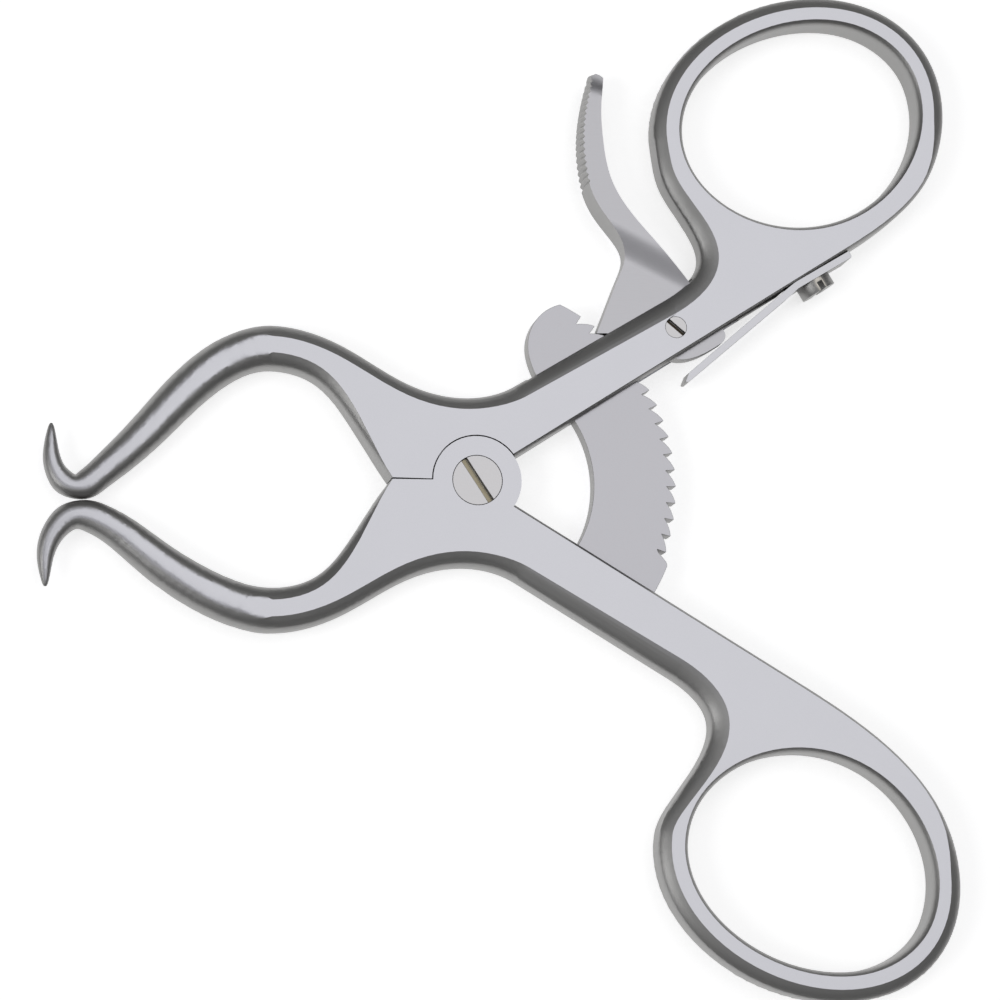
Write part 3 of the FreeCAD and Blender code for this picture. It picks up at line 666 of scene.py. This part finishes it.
@dataclass
class ReleaseLever:
    """The pawl lever with its thumb pad."""

    finish: bpy.types.Material
    edge: float = 0.1 * MM
    middle: float = 2.3 * MM
    plate_half: float = 1.1 * MM
    pad_half: float = 2.2 * MM
    blend_place: tuple[float, float] = (18.2 * MM, 28.7 * MM)
    blend_way: tuple[float, float] = (0.44, 0.90)
    blend_span: tuple[float, float] = (-2.0 * MM, 1.8 * MM)
    blend_steps: int = 12
    blend_reach: float = 6.0 * MM
    flat_share: float = 0.99
    top_place: tuple[float, float] = (14.3 * MM, 50.3 * MM)
    top_way: tuple[float, float] = (0.25, 0.97)
    top_length: float = 3.0 * MM
    top_drop: float = 1.2 * MM
    top_steps: int = 8
    trim: float = 1.0 * MM
    trim_span: tuple[float, float] = (40.0 * MM, 50.0 * MM)
    pad_start: float = 33.0 * MM
    pad_margin: float = 2.0 * MM
    rim_reach: float = 0.6 * MM
    crown_run: float = 6.0 * MM
    crown: tuple[float, float] = (1.2 * MM, -0.8 * MM)
    crown_levels: tuple[float, ...] = (0.25, 0.5, 0.7, 0.85)
    face_depth: float = 0.45 * MM

    def build(self) -> list[Piece]:
        """Work the lever.

        Returns:
            The lever's piece.
        """
        lever = cast("release_lever", "lever_plate")
        self._crown_face(lever)
        self._blend_pad(lever)
        ease(lever, self.edge)
        smooth(lever)
        lever.data.materials.append(self.finish)
        return [Piece(lever, Body.LEVER, Slot.MACHINED, ("release_lever",))]

    def _crown_face(self, lever: bpy.types.Object) -> None:
        """Round the thumb pad's serrated face over, so that it shows from above and below.

        Args:
            lever: The lever.
        """
        levels = [side * share * self.pad_half for share in self.crown_levels for side in (-1, 1)]
        slice_up(lever, Vector((0, 0, 1)), [self.middle + level for level in levels])
        foot = self.pad_start - self.pad_margin
        pad = [vertex for vertex in lever.data.vertices if vertex.co.y > foot]
        places = [vertex.co.copy() for vertex in pad]
        for vertex, place in zip(pad, places):
            rim = min(other.x for other in places if abs(other.y - place.y) < self.rim_reach)
            depth = place.x - rim
            if depth < 2 * self.face_depth:
                share = ramp((place.y - self.pad_start) / self.crown_run)
                share *= 1 - ramp(depth / self.face_depth - 1)
                rise = ((place.z - self.middle) / self.pad_half) ** 2
                vertex.co.x += self.crown[0] * share * rise
                vertex.co.y += self.crown[1] * share * rise

    def _blend_pad(self, lever: bpy.types.Object) -> None:
        """Let the pad run softly into the plate, round its top end over and trim it.

        Args:
            lever: The lever.
        """
        way = Vector((*self.blend_way, 0)).normalized()
        start = Vector((*self.blend_place, 0))
        low, high = self.blend_span
        places = [low + (high - low) * step / self.blend_steps for step in range(self.blend_steps + 1)]
        slice_up(lever, way, [start.dot(way) + place for place in places])
        top_way = Vector((*self.top_way, 0)).normalized()
        top = Vector((*self.top_place, 0))
        ends = [-self.top_length * (1 - step / self.top_steps) for step in range(self.top_steps)]
        slice_up(lever, top_way, [top.dot(top_way) + end for end in ends])
        for vertex in lever.data.vertices:
            rise = vertex.co.z - self.middle
            along = (vertex.co - start).dot(way)
            outside = abs(rise) > self.plate_half * self.flat_share
            if outside and along > low and vertex.co.y > start.y - self.blend_reach:
                share = ramp((along - low) / (high - low))
                level = self.plate_half + (self.pad_half - self.plate_half) * share
                rise = math.copysign(level, rise)
            end = max((vertex.co - top).dot(top_way) / self.top_length + 1, 0.0)
            rise *= 1 - self.top_drop / self.pad_half * end**2
            vertex.co.z = self.middle + rise
        first, last = self.trim_span
        for vertex in lever.data.vertices:
            vertex.co -= top_way * (self.trim * ramp((vertex.co.y - first) / (last - first)))


@dataclass
class LeafSpring:
    """The bent leaf that pushes the lever's tail."""

    finish: bpy.types.Material
    edge: float = 0.08 * MM
    seat_share: float = 0.72
    tip_share: float = 0.28
    seat_start: float = 45.6 * MM
    seat_level: float = 1.3 * MM
    lean: float = 9.2
    skin: float = 0.2 * MM
    swell: float = 0.45 * MM
    swell_run: float = 4.0 * MM
    tip_reach: float = 2.0 * MM
    tip_cut: float = 0.9 * MM

    def build(self) -> None:
        """Work the spring, which lies between the arm and the lever."""
        leaf = cast("leaf_spring", "spring_leaf")
        self._swell(leaf)
        ease(leaf, self.edge)
        smooth(leaf)
        leaf.data.materials.append(self.finish)
        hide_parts("leaf_spring")
        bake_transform(leaf)
        LOG.info("%s bends between %s and %s", leaf.name, Body.UPPER.value, Body.LEVER.value)

    def _swell(self, leaf: bpy.types.Object) -> None:
        """Make the free part stouter on the side away from the arm, and cut its tip aslant.

        Args:
            leaf: The spring's leaf.
        """
        slope = math.tan(math.radians(self.lean))
        tip = min(vertex.co.dot(SHANK_RUN) for vertex in leaf.data.vertices)
        for vertex in leaf.data.vertices:
            along = vertex.co.dot(SHANK_RUN)
            back = max(self.seat_start - along, 0.0)
            inner = self.seat_level - back * slope
            if vertex.co.dot(SHANK_RISE) < inner - self.skin:
                vertex.co -= SHANK_RISE * (self.swell * ramp(back / self.swell_run))
            elif along < tip + self.tip_reach:
                vertex.co += SHANK_RUN * self.tip_cut


@dataclass
class Screws:
    """The three slotted screws."""

    bright: bpy.types.Material
    warm: bpy.types.Material
    slot_floor_tint_and_shade: bpy.types.Material
    deep_slot_shade: bpy.types.Material
    edge: float = 0.06 * MM
    slot_depths: tuple[tuple[str, float], ...] = (
        ("pivot_screw", 0.6 * MM),
        ("lever_screw", 0.45 * MM),
        ("spring_screw", 0.0),
    )

    def build(self) -> list[Piece]:
        """Work the screws.

        Returns:
            The screws' pieces.
        """
        made = []
        for node, depth in self.slot_depths:
            screw = cast(node, f"{node}_head")
            if node == "spring_screw":
                self._turn(screw)
            ease(screw, self.edge)
            smooth(screw)
            screw.data.materials.append(self.warm if node == "spring_screw" else self.bright)
            # The slot faces get a darker material: painted shade in the slots, over a brown tint in
            # the pivot screw's
            screw.data.materials.append(self.deep_slot_shade if node == "lever_screw" else self.slot_floor_tint_and_shade)
            self._tint_and_shade_slot(screw, depth)
            made.append(Piece(screw, Body.UPPER, Slot.SCREW, (node,)))
        return made

    def _turn(self, screw: bpy.types.Object) -> None:
        """Turn the spring's screw until its slot stands upright, as it is tightened.

        Args:
            screw: The screw.
        """
        low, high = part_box("spring_screw")
        centre = (low + high) / 2
        spin = Matrix.Rotation(SHANK_ANGLE, 4, -SHANK_RISE)
        screw.data.transform(Matrix.Translation(centre) @ spin @ Matrix.Translation(-centre))

    def _tint_and_shade_slot(self, screw: bpy.types.Object, depth: float) -> None:
        """Give the slot of an upright screw its darker material, painted shade in the slot.

        Args:
            screw: The screw.
            depth: The slot's depth, or 0 for a slot that stays as it is.
        """
        corners = [vertex.co for vertex in screw.data.vertices]
        top = max(corner.z for corner in corners)
        middle = Vector((sum(c.x for c in corners), sum(c.y for c in corners), 0)) / len(corners)
        reach = max((Vector((c.x, c.y, 0)) - middle).length for c in corners) - 2 * self.edge
        for face in screw.data.polygons:
            place = face.center
            inside = (Vector((place.x, place.y, 0)) - middle).length < reach
            if inside and top - depth - self.edge < place.z < top - self.edge:
                face.material_index = 1


# Studio


@dataclass(frozen=True)
class Softbox:
    """One square lamp aimed at the spreader."""

    name: str
    place: tuple[float, float, float]
    width: float
    power: float

    def hang(self, target: Vector) -> None:
        """Hang the lamp.

        Args:
            target: The point that it is aimed at.
        """
        light = bpy.data.lights.new(self.name, "AREA")
        light.size = self.width
        light.energy = self.power
        lamp = bpy.data.objects.new(self.name, light)
        bpy.context.scene.collection.objects.link(lamp)
        lamp.location = self.place
        lamp.rotation_mode = "QUATERNION"
        lamp.rotation_quaternion = (target - Vector(self.place)).to_track_quat("-Z", "Y")


@dataclass
class Studio:
    """Pale floor, soft lamps and the air between them."""

    floor_width: float = 6.0
    floor_gap: float = 0.02 * MM
    floor_tone: float = 0.80
    floor_roughness: float = 0.9
    floor_lift: float = 0.64
    horizon: float = 0.10
    zenith: float = 0.36
    zenith_blue: float = 1.02
    air_stops: tuple[float, float] = (0.40, 0.90)
    lamps: tuple[Softbox, ...] = (
        Softbox("key_softbox", (0.22, 0.22, 0.95), 0.90, 1.9),
        Softbox("side_softbox", (-0.74, -0.20, 0.64), 0.45, 2.0),
    )

    def build(self) -> None:
        """Set the studio up."""
        bpy.ops.object.select_all(action="DESELECT")
        bpy.ops.mesh.primitive_plane_add(size=self.floor_width, location=(0, 0, -self.floor_gap))
        floor = bpy.context.active_object
        floor.name = "studio_floor"
        floor.data.materials.append(self._floor_paint())
        for lamp in self.lamps:
            lamp.hang(Vector((0, 0, 0)))
        self._air()
        bpy.context.scene.view_settings.view_transform = "Standard"

    def _floor_paint(self) -> bpy.types.Material:
        """A pale floor that the camera and the steel's gloss see a little lighter.

        Returns:
            The floor's material.
        """
        recipe = Recipe("floor_paint")
        direct = recipe.node("ShaderNodeLightPath", {}, {}, "Is Camera Ray")
        gloss = recipe.node("ShaderNodeLightPath", {}, {}, "Is Glossy Ray")
        seen = recipe.node("ShaderNodeMath", {"operation": "MAXIMUM"}, {0: direct, 1: gloss})
        inputs = {
            "Base Color": (self.floor_tone, self.floor_tone, self.floor_tone, 1),
            "Roughness": self.floor_roughness,
            "Emission Color": (1, 1, 1, 1),
            "Emission Strength": seen * self.floor_lift,
        }
        return recipe.finish(recipe.node("ShaderNodeBsdfPrincipled", {}, inputs))

    def _air(self) -> None:
        """A grey world, dark at the horizon and bright overhead."""
        world = bpy.data.worlds.new("studio_air")
        bpy.context.scene.world = world
        world.use_nodes = True
        tree = world.node_tree
        where = tree.nodes.new("ShaderNodeTexCoord")
        split = tree.nodes.new("ShaderNodeSeparateXYZ")
        fade = tree.nodes.new("ShaderNodeValToRGB")
        fade.color_ramp.interpolation = "EASE"
        low, high = fade.color_ramp.elements
        low.position, high.position = self.air_stops
        low.color = (self.horizon, self.horizon, self.horizon, 1)
        high.color = (self.zenith, self.zenith, self.zenith * self.zenith_blue, 1)
        tree.links.new(where.outputs["Generated"], split.inputs[0])
        tree.links.new(split.outputs["Z"], fade.inputs[0])
        tree.links.new(fade.outputs[0], tree.nodes["Background"].inputs["Color"])


@dataclass(frozen=True)
class PhotoCamera:
    """The camera, as its lean over the spreader and where it sees the pivot screw's top."""

    frame_pixels: float = 1000.0
    distance_pixels: float = 3500.0
    pixel: float = 0.116 * MM
    lean: tuple[float, float] = (-0.18, -0.18)
    turn: float = 0.0104
    pivot_pixel: tuple[float, float] = (477.6, 480.0)
    pivot_top: tuple[float, float, float] = (0.0, 0.0, 4.6 * MM)
    sensor: float = 36.0
    clip: tuple[float, float] = (0.01, 20.0)

    def build(self) -> None:
        """Set the camera up."""
        back = Vector((*self.lean, math.sqrt(1 - self.lean[0] ** 2 - self.lean[1] ** 2)))
        up = (Vector((0, 1, 0)) - back * back.y).normalized()
        right = up.cross(back)
        half = self.frame_pixels / 2
        across = self.pivot_pixel[0] - half
        above = half - self.pivot_pixel[1]
        ray = right * across + up * above - back * self.distance_pixels
        height = self.pivot_top[2] / self.pixel
        reach = (height - self.distance_pixels * back.z) / ray.z
        turn = Matrix.Rotation(-self.turn, 3, "Z")
        place = Vector(self.pivot_top) - turn @ ray * (reach * self.pixel)
        axes = Matrix([turn @ right, turn @ up, turn @ back]).transposed()
        lens = bpy.data.cameras.new("photo_camera")
        lens.sensor_width = self.sensor
        lens.lens = self.sensor * self.distance_pixels / self.frame_pixels
        lens.clip_start, lens.clip_end = self.clip
        camera = bpy.data.objects.new("photo_camera", lens)
        bpy.context.scene.collection.objects.link(camera)
        camera.matrix_world = Matrix.Translation(place) @ axes.to_4x4()
        bpy.context.scene.camera = camera


def main() -> None:
    """Build the spreader and its studio."""
    logging.basicConfig(level=logging.INFO, format="%(message)s")
    kit = Finishes()
    satin = kit.satin.material()
    pieces = []
    for body, ring_centre in RING_CENTRES.items():
        pieces += ForgedArm(body, satin, ring_centre).build()
    pieces += RatchetSector(kit.sector.material()).build()
    pieces += ReleaseLever(kit.lever.material()).build()
    # The screws' finishes, with the painted shade for their slots
    screw_finishes_and_slot_shade = (kit.screw, kit.cheese, kit.slot, kit.deep_slot_shade)
    pieces += Screws(*(finish.material() for finish in screw_finishes_and_slot_shade)).build()
    for piece in pieces:
        piece.seat()
    LeafSpring(kit.spring.material()).build()
    Studio().build()
    PhotoCamera().build()


if __name__ == "__main__":
    main()
